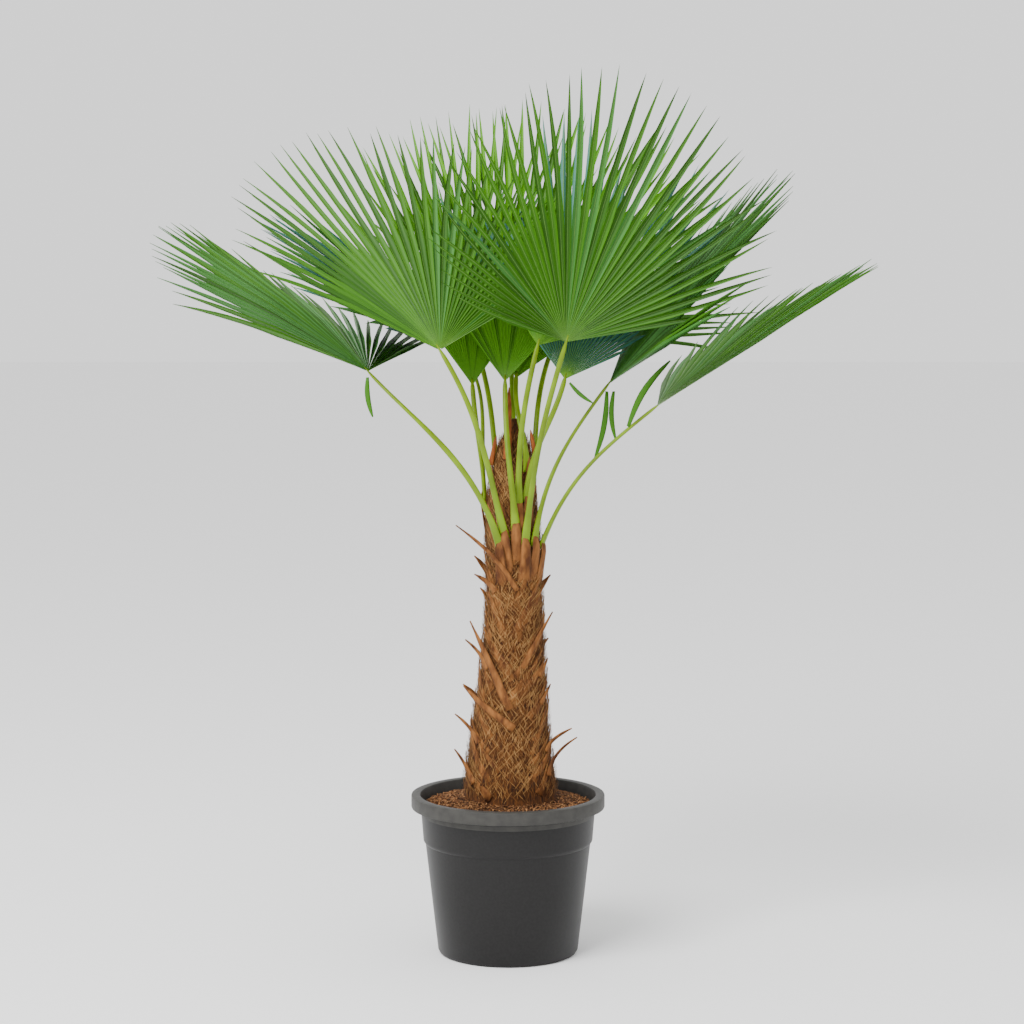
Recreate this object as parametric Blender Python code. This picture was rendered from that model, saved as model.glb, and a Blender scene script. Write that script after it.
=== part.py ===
"""A windmill palm in a round nursery pot.

Metres, +Z up. The origin is the centre of the pot's flat underside, and the view of the
reference looks along +Y with +X to the right.
"""

import math
import random
from collections import namedtuple

import bmesh
import bpy
from mathutils import Vector
from mathutils.bvhtree import BVHTree

# Pot: outside sizes from the underside up
POT_SIDES = 40
POT_BASE_RADIUS = 0.1235
POT_BASE_FILLET = 0.008
POT_STEP_HEIGHT = 0.198
POT_STEP_RADIUS = 0.1455
POT_STEP_WIDTH = 0.0035
POT_NECK_RADIUS = 0.1535
POT_RIM_RADIUS = 0.170
POT_RIM_BOTTOM = 0.258
POT_HEIGHT = 0.282
POT_LIP_WIDTH = 0.0135
POT_LIP_ROUND = 0.003
POT_WALL = 0.003
POT_FLOOR = 0.004

# Substrate that fills the pot and rises towards the trunk
SOIL_SIDES = POT_SIDES
SOIL_EDGE_HEIGHT = 0.262
SOIL_TRUNK_HEIGHT = 0.272
SOIL_SEAT_RADIUS = 0.084
SOIL_LUMP = 0.004

# Trunk: height above the underside, radius and how far the centre lies to the right
TRUNK_SIDES = 18
TRUNK_ROWS = 26
TRUNK_TOP = 0.940
TRUNK_OUTLINE = (
    (0.2725, 0.0815, 0.0040),
    (0.320, 0.0775, 0.0035),
    (0.375, 0.0695, 0.0030),
    (0.435, 0.0635, 0.0050),
    (0.490, 0.0570, 0.0080),
    (0.555, 0.0520, 0.0095),
    (0.625, 0.0475, 0.0110),
    (0.715, 0.0470, 0.0095),
    (0.800, 0.0410, 0.0060),
    (0.880, 0.0300, 0.0095),
    (0.915, 0.0190, 0.0115),
    (TRUNK_TOP, 0.0050, 0.0125),
)
CROWN_FOOT = 0.760
CROWN_FLATTENING = 0.50
CROWN_SETBACK = 0.030
BOOT_RELIEF = 0.05
BOOTS_ROUND = 5
BOOT_ROWS = 12

# Everything that touches keeps this gap
GAP = 0.0003

# Leaf stalks
STALK_SIDES = 6
STALK_ROWS = 10
STALK_FOOT_WIDTH = 0.018
STALK_FOOT_DEPTH = 0.009
STALK_WIDTH = 0.011
STALK_DEPTH = 0.0085
STALK_TOP_WIDTH = 0.0085
STALK_TOP_DEPTH = 0.0065
STALK_POINT_LENGTH = 0.016
STALK_POINT_WIDTH = 0.0016
STALK_SEAT = 0.0012
STALK_FOOT_LEAN = 0.14
STALK_FOOT_PULL = 0.42
STALK_HUB_PULL = 0.40
STALK_HUB_RISE = 0.10

# Fan blades
BLADE_THICKNESS = 0.0048
FUSED_SHARE = 0.46
SHOULDER_SHARE = 0.50
SHOULDER_WIDTH = 0.74
PLEAT_DEPTH = 0.45
EDGE_POWER = 1.5
BLUNT_SHARE = 0.80
REACHES = (1.0, 0.9, 0.8, 0.7, 0.6, 0.5, 0.4, 0.3, 0.2)
CLEARANCE = 0.0012

# One row for each frond: the hub where the blade starts, the way the blade leans in the front view
# (degrees to the right), tips to the back and turns its upper side from the front to the sky, its
# length, its spread to either side, how far either side cups and how much it loses in length, its
# sag, the number of folds, and where its stalk leaves the trunk: the height, the compass angle (0 at
# +X, 90 at the back) and the lean to the right
Frond = namedtuple(
    "Frond",
    "name hub lean tip turn length spread_a spread_b cup_a cup_b loss_a loss_b sag folds"
    " foot_height foot_angle foot_lean",
)
FRONDS = (
    Frond("frond_07", (0.098, -0.140, 1.081), 18, -3, -6, 0.479, 86, 62, 36, 10, 0.42, 0.30, 0.01, 30, 0.722, -68, 6),
    Frond("frond_02", (-0.115, -0.110, 1.066), -37, 22, 36, 0.507, 38, 92, 3, 22, 0.30, 0.38, 0.028, 28, 0.735, -104, -14),
    Frond("frond_01", (-0.241, -0.030, 1.026), -50, 42, 89, 0.461, 83, 60, -10, 22, 0.05, 0.18, 0.04, 30, 0.716, -114, -14),
    Frond("frond_09", (0.256, -0.050, 0.967), 54, -17, 102, 0.466, 64, 64, 20, 2, 0.28, 0.22, 0.014, 26, 0.718, -26, 20),
    Frond("frond_08", (0.176, 0.020, 1.002), 39, -8, 84, 0.505, 64, 52, 2, 0, 0.35, 0.10, 0.04, 26, 0.724, -47, 8),
    Frond("frond_06", (0.051, -0.060, 1.072), 16, 22, 0, 0.500, 50, 62, 4, 6, 0.20, 0.28, 0.01, 24, 0.790, -76, 0),
    Frond("frond_04", (-0.005, 0.005, 1.006), 1, 18, 0, 0.528, 38, 42, 4, 4, 0.16, 0.16, 0.012, 18, 0.752, -83, -5),
    Frond("frond_03", (-0.062, 0.030, 0.998), -4, 20, 0, 0.535, 32, 40, 4, 4, 0.16, 0.16, 0.012, 18, 0.800, 172, -4),
    Frond("frond_05", (0.014, 0.055, 1.009), 9, 22, 0, 0.545, 36, 46, 4, 4, 0.16, 0.16, 0.012, 18, 0.850, -50, -2),
    Frond("frond_10", (0.098, -0.030, 1.012), 14, 20, 180, 0.510, 50, 48, 4, 4, 0.2, 0.2, 0.01, 20, 0.800, -56, 2),
    Frond("frond_11", (-0.099, 0.100, 1.065), -60, 20, 112, 0.430, 50, 48, 2, 0, 0.2, 0.2, 0.03, 20, 0.755, 140, -16),
    Frond("frond_13", (-0.062, 0.185, 1.070), -26, 44, 0, 0.430, 60, 60, 8, 8, 0.2, 0.2, 0.04, 24, 0.735, 112, -6),
    Frond("frond_12", (0.085, 0.170, 1.070), 30, 42, 0, 0.430, 60, 60, 8, 8, 0.2, 0.2, 0.04, 24, 0.745, 50, 4),
    Frond("frond_14", (0.004, 0.215, 1.060), -3, 64, 0, 0.420, 58, 58, 8, 8, 0.2, 0.2, 0.05, 22, 0.700, 86, 0),
)

# Leaflets that hang or stand by themselves: foot, tip, width, outward bow
Leaflet = namedtuple("Leaflet", "name foot tip width bow")
LEAFLETS = (
    Leaflet("leaflet_01", (-0.241, -0.046, 1.016), (-0.232, -0.052, 0.948), 0.009, 0.004),
    Leaflet("leaflet_08_long", (0.172, 0.018, 0.988), (0.150, 0.010, 0.868), 0.010, -0.006),
    Leaflet("leaflet_08_short", (0.184, 0.020, 0.988), (0.188, 0.012, 0.902), 0.009, 0.006),
    Leaflet("leaflet_09", (0.206, -0.060, 0.932), (0.277, -0.070, 1.046), 0.011, -0.010),
    Leaflet("leaflet_10", (0.106, -0.036, 1.006), (0.146, -0.052, 0.972), 0.007, 0.003),
)
LEAFLET_THICKNESS = 0.0022

# Old leaf bases: height and compass angle of the foot, then of the tip, how far the tip stands off
# the trunk, and the width
Stump = namedtuple("Stump", "height angle tip_height tip_angle stand_off width")
STUMPS = (
    Stump(0.648, -84, 0.760, -158, 0.058, 0.011),
    Stump(0.644, -128, 0.673, -160, 0.022, 0.014),
    Stump(0.442, -92, 0.591, -162, 0.027, 0.018),
    Stump(0.508, -140, 0.557, -170, 0.030, 0.015),
    Stump(0.409, -85, 0.476, -166, 0.025, 0.016),
    Stump(0.379, -139, 0.426, -170, 0.031, 0.014),
    Stump(0.309, -141, 0.363, -172, 0.023, 0.016),
    Stump(0.513, -73, 0.607, -20, 0.019, 0.012),
    Stump(0.496, -38, 0.524, -12, 0.004, 0.012),
    Stump(0.448, -38, 0.478, -10, 0.006, 0.012),
    Stump(0.363, -31, 0.401, -10, 0.039, 0.014),
    Stump(0.321, -33, 0.387, -14, 0.049, 0.015),
    Stump(0.600, 60, 0.665, 25, 0.020, 0.018),
    Stump(0.550, 100, 0.640, 142, 0.025, 0.020),
    Stump(0.470, 80, 0.550, 40, 0.025, 0.020),
    Stump(0.400, 120, 0.470, 158, 0.030, 0.020),
    Stump(0.335, 85, 0.395, 56, 0.030, 0.020),
    Stump(0.640, 128, 0.700, 166, 0.020, 0.018),
)
STUMP_THICKNESS = 0.005
STUMP_SEAT = 0.0012
STUMP_CURL = 2.2
STUMP_TAPER = 0.60
STUMP_ROWS = 6

# Brown sheath round the newest leaves: foot, tip, foot width and depth
Sheath = namedtuple("Sheath", "name foot tip width depth")
SHEATHS = (
    Sheath("sheath_spear", (-0.001, -0.012, 0.872), (0.002, 0.014, 0.995), 0.015, 0.006),
    Sheath("sheath_right", (0.048, 0.010, 0.872), (0.039, 0.008, 0.922), 0.010, 0.005),
    Sheath("sheath_left", (-0.030, 0.012, 0.860), (-0.020, 0.004, 0.912), 0.010, 0.005),
)

UP = Vector((0.0, 0.0, 1.0))
TO_VIEWER = Vector((0.0, -1.0, 0.0))


def clear_scene():
    for item in list(bpy.data.objects):
        bpy.data.objects.remove(item, do_unlink=True)


def material(name, colour, roughness):
    paint = bpy.data.materials.get(name) or bpy.data.materials.new(name)
    paint.use_nodes = True
    shader = paint.node_tree.nodes["Principled BSDF"]
    shader.inputs["Base Color"].default_value = (*colour, 1.0)
    shader.inputs["Roughness"].default_value = roughness
    shader.inputs["Metallic"].default_value = 0.0
    return paint


def pot_plastic():
    return material("pot_plastic", (0.056, 0.052, 0.052), 0.55)


def coir():
    return material("coir", (0.17, 0.085, 0.045), 0.95)


def trunk_fibre():
    return material("trunk_fibre", (0.21, 0.115, 0.058), 0.95)


def old_leaf_base():
    return material("old_leaf_base", (0.30, 0.15, 0.065), 0.85)


def leaf_stalk():
    return material("leaf_stalk", (0.27, 0.37, 0.03), 0.45)


def leaf_blade():
    return material("leaf_blade", (0.075, 0.19, 0.025), 0.5)


def make_object(name, vertices, faces, paint, smooth=False):
    """A closed body from its points and faces, with the faces turned outwards."""
    mesh = bpy.data.meshes.new(name)
    mesh.from_pydata([tuple(v) for v in vertices], [], faces)
    shell = bmesh.new()
    shell.from_mesh(mesh)
    bmesh.ops.recalc_face_normals(shell, faces=shell.faces)
    shell.to_mesh(mesh)
    shell.free()
    mesh.materials.append(paint)
    if smooth:
        for face in mesh.polygons:
            face.use_smooth = True
    body = bpy.data.objects.new(name, mesh)
    bpy.context.collection.objects.link(body)
    return body


def ring_faces(first, second, count):
    """Side faces between two rings of points that start at the given indices."""
    return [
        (first + k, first + (k + 1) % count, second + (k + 1) % count, second + k)
        for k in range(count)
    ]


def loft(rings, foot=None, tip=None):
    """Points and faces of a closed body through rings, with an end point or a flat cap."""
    count = len(rings[0])
    vertices = [point for ring in rings for point in ring]
    faces = []
    for row in range(len(rings) - 1):
        faces += ring_faces(row * count, (row + 1) * count, count)
    last = (len(rings) - 1) * count
    for end, start in ((foot, 0), (tip, last)):
        if end is None:
            faces.append(tuple(range(start, start + count)))
            continue
        vertices.append(end)
        pole = len(vertices) - 1
        faces += [(start + k, start + (k + 1) % count, pole) for k in range(count)]
    return vertices, faces


def turned(name, outline, sides, paint):
    """A body turned round the upright axis, closed by a point on the axis at either end."""
    rings = []
    for radius, height in outline[1:-1]:
        rings.append([
            Vector((radius * math.cos(a), radius * math.sin(a), height))
            for a in (2 * math.pi * k / sides for k in range(sides))
        ])
    foot = Vector((0.0, 0.0, outline[0][1]))
    tip = Vector((0.0, 0.0, outline[-1][1]))
    vertices, faces = loft(rings, foot, tip)
    return make_object(name, vertices, faces, paint, smooth=True)


def pot():
    """Tapered pot with a step ring below the neck and a broad rolled rim."""
    lip_inner = POT_RIM_RADIUS - POT_LIP_WIDTH
    outline = (
        (0.0, 0.0),
        (POT_BASE_RADIUS - POT_BASE_FILLET, 0.0),
        (POT_BASE_RADIUS - POT_BASE_FILLET * 0.3, POT_BASE_FILLET * 0.3),
        (POT_BASE_RADIUS, POT_BASE_FILLET),
        (POT_STEP_RADIUS, POT_STEP_HEIGHT),
        (POT_STEP_RADIUS + POT_STEP_WIDTH, POT_STEP_HEIGHT + POT_STEP_WIDTH),
        (POT_NECK_RADIUS, POT_RIM_BOTTOM),
        (POT_RIM_RADIUS - POT_LIP_ROUND, POT_RIM_BOTTOM),
        (POT_RIM_RADIUS, POT_RIM_BOTTOM + POT_LIP_ROUND),
        (POT_RIM_RADIUS, POT_HEIGHT - POT_LIP_ROUND),
        (POT_RIM_RADIUS - POT_LIP_ROUND, POT_HEIGHT),
        (lip_inner, POT_HEIGHT),
        (lip_inner - POT_WALL, POT_HEIGHT - POT_LIP_ROUND),
        (POT_NECK_RADIUS - POT_WALL, POT_RIM_BOTTOM),
        (POT_STEP_RADIUS - POT_WALL, POT_STEP_HEIGHT),
        (POT_BASE_RADIUS - POT_WALL, POT_BASE_FILLET),
        (POT_BASE_RADIUS - POT_BASE_FILLET, POT_FLOOR),
        (0.0, POT_FLOOR),
    )
    return turned("pot", outline, POT_SIDES, pot_plastic())


def substrate():
    """Coir and bark that fill the pot, lumpy on top and level under the trunk."""
    lumps = random.Random(11)
    side = GAP * 3
    outline = (
        (POT_BASE_RADIUS - POT_BASE_FILLET - side, POT_FLOOR + GAP),
        (POT_BASE_RADIUS - POT_WALL - side * 2, POT_BASE_FILLET + GAP),
        (POT_STEP_RADIUS - POT_WALL - side, POT_STEP_HEIGHT),
        (POT_NECK_RADIUS - POT_WALL - side, POT_RIM_BOTTOM - SOIL_LUMP),
    )
    rings = []
    for radius, height in outline:
        rings.append([Vector((radius * math.cos(a), radius * math.sin(a), height)) for a in around(SOIL_SIDES)])
    neck = outline[-1][0]
    for share in (0.18, 0.45, 0.75):
        radius = neck + (SOIL_SEAT_RADIUS - neck) * share
        height = SOIL_EDGE_HEIGHT - SOIL_LUMP + (SOIL_TRUNK_HEIGHT - SOIL_EDGE_HEIGHT) * share
        rings.append([
            Vector((radius * math.cos(a), radius * math.sin(a), height + lumps.uniform(0.0, SOIL_LUMP)))
            for a in around(SOIL_SIDES)
        ])
    seat = [
        Vector((SOIL_SEAT_RADIUS * math.cos(a), SOIL_SEAT_RADIUS * math.sin(a), SOIL_TRUNK_HEIGHT))
        for a in around(SOIL_SIDES)
    ]
    rings.append(seat)
    vertices, faces = loft(rings)
    return make_object("substrate", vertices, faces, coir())


def around(count):
    return [2 * math.pi * k / count for k in range(count)]


def crown_share(height):
    """How far a height lies up the crown, where the stalks stand in front of the sheath."""
    return max(0.0, (height - CROWN_FOOT) / (TRUNK_TOP - CROWN_FOOT))


def along_trunk(height, column):
    """Value of the trunk's outline at a height: column 1 is the radius, 2 the centre's place."""
    for below, above in zip(TRUNK_OUTLINE, TRUNK_OUTLINE[1:]):
        if height <= above[0]:
            share = (height - below[0]) / (above[0] - below[0])
            return below[column] + (above[column] - below[column]) * share
    return TRUNK_OUTLINE[-1][column]


def trunk_axis(height):
    """Centre of the trunk at a height: it wanders a little, and its crown lies to the back."""
    return Vector((along_trunk(height, 2), CROWN_SETBACK * crown_share(height), height))


def trunk_radius(height):
    """Radius of the trunk at a height."""
    return along_trunk(height, 1)


def boot_relief(angle, share):
    """Rise of the old leaf boots that wrap the trunk in two crossing spirals."""
    left = math.sin(BOOTS_ROUND * angle + 2 * math.pi * BOOT_ROWS * share / 2)
    right = math.sin(BOOTS_ROUND * angle - 2 * math.pi * BOOT_ROWS * share / 2)
    fade = min(1.0, 4 * (1 - share))
    return 1.0 + BOOT_RELIEF * fade * 0.5 * left * right


def trunk():
    """Shaggy tapering trunk from its flat foot on the soil to the crown."""
    rings = []
    foot = TRUNK_OUTLINE[0][0]
    for row in range(TRUNK_ROWS):
        share = row / (TRUNK_ROWS - 1)
        height = foot + (TRUNK_TOP - foot) * share
        centre = trunk_axis(height)
        radius = trunk_radius(height)
        ring = []
        flat = 1.0 - CROWN_FLATTENING * min(1.0, 2 * crown_share(height))
        for a in around(TRUNK_SIDES):
            reach = radius * boot_relief(a, share)
            ring.append(centre + Vector((reach * math.cos(a), reach * flat * math.sin(a), 0.0)))
        rings.append(ring)
    vertices, faces = loft(rings)
    return make_object("trunk", vertices, faces, trunk_fibre())


def strap(points, widths, depths, across):
    """Rings of a flat strap with four edges along a line of points."""
    rings = []
    for k, point in enumerate(points):
        ahead = points[min(k + 1, len(points) - 1)]
        behind = points[max(k - 1, 0)]
        along = (ahead - behind).normalized()
        side = (across - along * across.dot(along)).normalized()
        face = side.cross(along)
        rings.append([
            point + side * widths[k] / 2,
            point + face * depths[k] / 2,
            point - side * widths[k] / 2,
            point - face * depths[k] / 2,
        ])
    return rings


def stump(number, row):
    """Old leaf base: a strap that hugs the trunk from its foot and stands off at its torn tip."""
    half = STUMP_THICKNESS / 2
    points = []
    outs = []
    for k in range(STUMP_ROWS + 1):
        share = k / STUMP_ROWS
        height = row.height + (row.tip_height - row.height) * share
        angle = math.radians(row.angle + (row.tip_angle - row.angle) * share)
        out = Vector((math.cos(angle), math.sin(angle), 0.0))
        reach = trunk_radius(height) + half + STUMP_SEAT + row.stand_off * share ** STUMP_CURL
        points.append(trunk_axis(height) + out * reach)
        outs.append(out)
    rings = []
    for k in range(STUMP_ROWS):
        along = (points[k + 1] - points[max(k - 1, 0)]).normalized()
        side = outs[k].cross(along).normalized()
        face = side.cross(along)
        wide = row.width * (1.0 - STUMP_TAPER * k / STUMP_ROWS) / 2
        rings.append([
            points[k] + side * wide,
            points[k] + face * half,
            points[k] - side * wide,
            points[k] - face * half,
        ])
    vertices, faces = loft(rings, tip=points[-1])
    return make_object("stump_%02d" % number, vertices, faces, old_leaf_base())


def sheath(row):
    """Brown papery sheath that stands up among the newest stalks."""
    foot = Vector(row.foot)
    tip = Vector(row.tip)
    points = [foot.lerp(tip, share) for share in (0.0, 0.35, 0.7)]
    widths = [row.width, row.width * 0.85, row.width * 0.5]
    depths = [row.depth, row.depth * 0.8, row.depth * 0.5]
    rings = strap(points, widths, depths, Vector((1.0, 0.0, 0.0)))
    vertices, faces = loft(rings, tip=tip)
    return make_object(row.name, vertices, faces, old_leaf_base())


def leaflet(row):
    """Single narrow leaflet with a bowed middle and a point at either end."""
    foot = Vector(row.foot)
    tip = Vector(row.tip)
    side = (tip - foot).cross(TO_VIEWER).normalized()
    points = [foot.lerp(tip, share) + side * row.bow * math.sin(math.pi * share) for share in (0.02, 0.3, 0.65)]
    widths = [row.width * 0.3, row.width, row.width * 0.75]
    depths = [LEAFLET_THICKNESS] * 3
    rings = strap(points, widths, depths, side)
    vertices, faces = loft(rings, tip=tip)
    return make_object(row.name, vertices, faces, leaf_blade())


def blade_axes(frond):
    """Axis, upper side and sideways direction of a blade."""
    lean, tip, turn = (math.radians(v) for v in (frond.lean, frond.tip, frond.turn))
    axis = Vector((math.sin(lean) * math.cos(tip), math.sin(tip), math.cos(lean) * math.cos(tip)))
    facing = (TO_VIEWER - axis * TO_VIEWER.dot(axis)).normalized()
    skyward = facing.cross(axis) * (1.0 if lean >= 0 else -1.0)
    upper = facing * math.cos(turn) + skyward * math.sin(turn)
    return axis, upper, upper.cross(axis)


def fold_direction(frond, axes, angle):
    """Direction of a fold at an angle from the blade's axis, and the side and normal there."""
    axis, upper, sideways = axes
    spread = frond.spread_a if angle > 0 else frond.spread_b
    cup_limit = frond.cup_a if angle > 0 else frond.cup_b
    share = angle / math.radians(spread)
    cup = math.radians(cup_limit) * share * share
    flat = axis * math.cos(angle) + sideways * math.sin(angle)
    along = flat * math.cos(cup) + upper * math.sin(cup)
    normal = upper * math.cos(cup) - flat * math.sin(cup)
    return along, normal


def fold_length(frond, angle):
    """The folds shorten towards both edges of the fan."""
    spread = frond.spread_a if angle > 0 else frond.spread_b
    share = angle / math.radians(spread)
    edge = frond.loss_a if angle > 0 else frond.loss_b
    return frond.length * (1.0 - edge * abs(share) ** EDGE_POWER)


def blade_point(frond, axes, angle, distance, lift, offset=0.0):
    """Point of the blade: out along a fold, lifted off it, and moved sideways."""
    along, normal = fold_direction(frond, axes, angle)
    share = distance / frond.length
    point = Vector(frond.hub) + along * distance + normal * lift
    point += normal.cross(along) * offset
    point.z -= frond.sag * frond.length * share * share
    return point


def finger_rows(frond, reach, angle, pitch):
    """Distances and half widths of the middle, shoulder and tip rows of one finger."""
    length = fold_length(frond, angle)
    top = length * reach
    middle = min(length * FUSED_SHARE, top * BLUNT_SHARE)
    shoulder = middle + (top - middle) * SHOULDER_SHARE
    width = middle * math.tan(pitch / 2) * SHOULDER_WIDTH
    return middle, shoulder, top, width


def wedge(frond, axes, angle, pitch, reach):
    """Plain solid slightly larger than one finger, for testing that its place is free."""
    middle, shoulder, top, width = finger_rows(frond, reach, angle, pitch)
    half = BLADE_THICKNESS / 2 + CLEARANCE
    start = frond.length * 0.06
    rings = []
    for distance, wide in (
        (start, start * math.tan(pitch / 2)),
        (middle, middle * math.tan(pitch / 2)),
        (shoulder, width),
        (top, 0.0),
    ):
        deep = half + distance * math.tan(pitch / 2) * PLEAT_DEPTH / 2
        wide += CLEARANCE
        rings.append([
            blade_point(frond, axes, angle, distance, lift, offset)
            for lift, offset in ((deep, wide), (deep, -wide), (-deep, -wide), (-deep, wide))
        ])
    vertices, faces = loft(rings)
    return BVHTree.FromPolygons(vertices, faces)


def free_reach(frond, axes, angle, pitch, others):
    """Longest share of a finger that stays clear of everything already there."""
    for reach in REACHES:
        probe = wedge(frond, axes, angle, pitch, reach)
        if not any(probe.overlap(other) for other in others):
            return reach
    return REACHES[-1]


def body_tree(body):
    """Search tree of a finished body, for the test of free places."""
    mesh = body.data
    return BVHTree.FromPolygons([v.co for v in mesh.vertices], [tuple(p.vertices) for p in mesh.polygons])


def blade(frond, others):
    """Pleated fan: folds joined near the hub and free, tapering fingers beyond."""
    axes = blade_axes(frond)
    low = -math.radians(frond.spread_b)
    pitch = (math.radians(frond.spread_a) - low) / frond.folds
    middles = [low + pitch * (k + 0.5) for k in range(frond.folds)]
    edges = [low + pitch * k for k in range(frond.folds + 1)]
    reaches = [free_reach(frond, axes, a, pitch, others) for a in middles]
    rows = [finger_rows(frond, r, a, pitch) for r, a in zip(reaches, middles)]
    half = BLADE_THICKNESS / 2
    vertices = []
    faces = []

    def pair(angle, distance, fold, offset=0.0):
        """Upper and lower point; fold is 1 on a crest and -1 in a valley."""
        ridge = fold * abs(distance) * math.tan(pitch / 2) * PLEAT_DEPTH / 2
        for lift in (ridge + half, ridge - half):
            vertices.append(blade_point(frond, axes, angle, distance, lift, offset))
        return len(vertices) - 2, len(vertices) - 1

    def strip(first, second, third):
        """Triangle on the upper and the lower side."""
        for side in (0, 1):
            faces.append((first[side], second[side], third[side]))

    def wall(first, second):
        """Edge of the blade between two point pairs, the second perhaps a single point."""
        if len(second) == 1:
            faces.append((first[0], first[1], second[0]))
        else:
            faces.append((first[0], first[1], second[1], second[0]))

    hub = pair(0.0, 0.0, 0)
    notches = []
    for k, angle in enumerate(edges):
        beside = [rows[j][0] for j in (k - 1, k) if 0 <= j < frond.folds]
        notches.append(pair(angle, min(beside), 1))
    for k, angle in enumerate(middles):
        middle, shoulder, top, width = rows[k]
        valley = pair(angle, middle, -1)
        bend = pair(angle, shoulder, -1)
        left = pair(angle, shoulder, 0.6, width)
        right = pair(angle, shoulder, 0.6, -width)
        vertices.append(blade_point(frond, axes, angle, top, 0.0))
        tip = len(vertices) - 1
        strip(hub, notches[k], valley)
        strip(hub, valley, notches[k + 1])
        for notch, edge in ((notches[k], right), (notches[k + 1], left)):
            strip(notch, edge, bend)
            strip(notch, bend, valley)
            for side in (0, 1):
                faces.append((edge[side], bend[side], tip))
            wall(notch, edge)
            wall(edge, (tip,))
    wall(hub, notches[0])
    wall(hub, notches[-1])
    return make_object(frond.name + "_blade", vertices, faces, leaf_blade())


def bezier(start, pull_start, pull_end, end, share):
    rest = 1.0 - share
    return (
        start * rest ** 3
        + pull_start * 3 * rest * rest * share
        + pull_end * 3 * rest * share * share
        + end * share ** 3
    )


def stalk_line(frond):
    """Points of a stalk from the trunk to just short of the hub."""
    angle = math.radians(frond.foot_angle)
    out = Vector((math.cos(angle), math.sin(angle), 0.0))
    flat = 1.0 - CROWN_FLATTENING * min(1.0, 2 * crown_share(frond.foot_height))
    rim = Vector((out.x, out.y * flat, 0.0)) * trunk_radius(frond.foot_height)
    foot = trunk_axis(frond.foot_height) + rim + out * (STALK_FOOT_DEPTH / 2 + STALK_SEAT)
    axis, upper, _ = blade_axes(frond)
    arrive = (axis + UP * STALK_HUB_RISE).normalized()
    hub = Vector(frond.hub) - arrive * (BLADE_THICKNESS / 2 + 2 * GAP)
    span = (hub - foot).length
    lean = math.radians(frond.foot_lean)
    leave = Vector((math.sin(lean), out.y * STALK_FOOT_LEAN, math.cos(lean))).normalized()
    pull_start = foot + leave * span * STALK_FOOT_PULL
    pull_end = hub - arrive * span * STALK_HUB_PULL
    shares = [k / (STALK_ROWS - 1) for k in range(STALK_ROWS)]
    point_share = 1.0 - STALK_POINT_LENGTH / span
    shares = [s * point_share for s in shares] + [1.0]
    across_foot = Vector((-math.sin(angle), math.cos(angle), 0.0))
    return [bezier(foot, pull_start, pull_end, hub, s) for s in shares], shares, across_foot


def stalk(frond):
    """Leaf stalk: clasping foot, slender arching length and a point under the blade."""
    points, shares, across_foot = stalk_line(frond)
    _, _, sideways = blade_axes(frond)
    if sideways.dot(across_foot) < 0:
        sideways = -sideways
    rings = []
    for k, point in enumerate(points):
        share = shares[k]
        ahead = points[min(k + 1, len(points) - 1)]
        behind = points[max(k - 1, 0)]
        along = (ahead - behind).normalized()
        across = across_foot.lerp(sideways, share)
        side = (across - along * across.dot(along)).normalized()
        face = side.cross(along)
        clasp = max(0.0, 1.0 - share / 0.16)
        wide = STALK_WIDTH + (STALK_TOP_WIDTH - STALK_WIDTH) * share + (STALK_FOOT_WIDTH - STALK_WIDTH) * clasp
        deep = STALK_DEPTH + (STALK_TOP_DEPTH - STALK_DEPTH) * share + (STALK_FOOT_DEPTH - STALK_DEPTH) * clasp
        if k == len(points) - 1:
            wide = deep = STALK_POINT_WIDTH
        rings.append([
            point + side * wide / 2 * math.cos(a) + face * deep / 2 * math.sin(a)
            for a in around(STALK_SIDES)
        ])
    vertices, faces = loft(rings)
    return make_object(frond.name + "_stalk", vertices, faces, leaf_stalk(), smooth=True)


def palm():
    """The whole plant in its pot; the blades come last, each clear of all before it."""
    clear_scene()
    pot()
    substrate()
    standing = [trunk()]
    standing += [sheath(row) for row in SHEATHS]
    for number, row in enumerate(STUMPS, 1):
        stump(number, row)
    standing += [stalk(frond) for frond in FRONDS]
    standing += [leaflet(row) for row in LEAFLETS]
    trees = [body_tree(body) for body in standing]
    for frond in FRONDS:
        trees.append(body_tree(blade(frond, trees)))


palm()
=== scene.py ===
"""Looks of a windmill palm in a round nursery pot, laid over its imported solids.

Metres, +Z up. The origin is the centre of the pot's flat underside. The camera looks along +Y.
"""

import math
import random
from collections import namedtuple

import bpy
import numpy as np
from bpy.props import FloatProperty, FloatVectorProperty, IntProperty, PointerProperty
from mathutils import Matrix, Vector
from mathutils.bvhtree import BVHTree


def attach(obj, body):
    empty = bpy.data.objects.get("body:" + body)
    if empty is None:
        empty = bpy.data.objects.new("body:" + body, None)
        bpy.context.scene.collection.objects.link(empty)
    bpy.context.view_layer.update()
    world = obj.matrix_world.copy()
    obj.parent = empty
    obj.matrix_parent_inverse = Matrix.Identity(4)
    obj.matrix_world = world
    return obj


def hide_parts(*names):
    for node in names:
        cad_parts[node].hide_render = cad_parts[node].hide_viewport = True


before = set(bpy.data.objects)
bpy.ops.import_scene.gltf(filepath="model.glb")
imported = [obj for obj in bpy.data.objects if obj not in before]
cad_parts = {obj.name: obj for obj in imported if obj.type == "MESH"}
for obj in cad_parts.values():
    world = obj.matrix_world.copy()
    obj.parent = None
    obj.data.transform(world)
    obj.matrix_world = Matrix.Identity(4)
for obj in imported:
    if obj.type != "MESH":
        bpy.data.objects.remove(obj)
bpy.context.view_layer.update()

bl_info = {
    "name": "Windmill Palm in a Pot",
    "version": (1, 0, 0),
    "blender": (4, 5, 0),
    "location": "View3D > Sidebar > Palm",
    "description": "Builds a potted windmill palm with pleated fans, a shaggy trunk and coir in its pot",
    "category": "Add Mesh",
}

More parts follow.
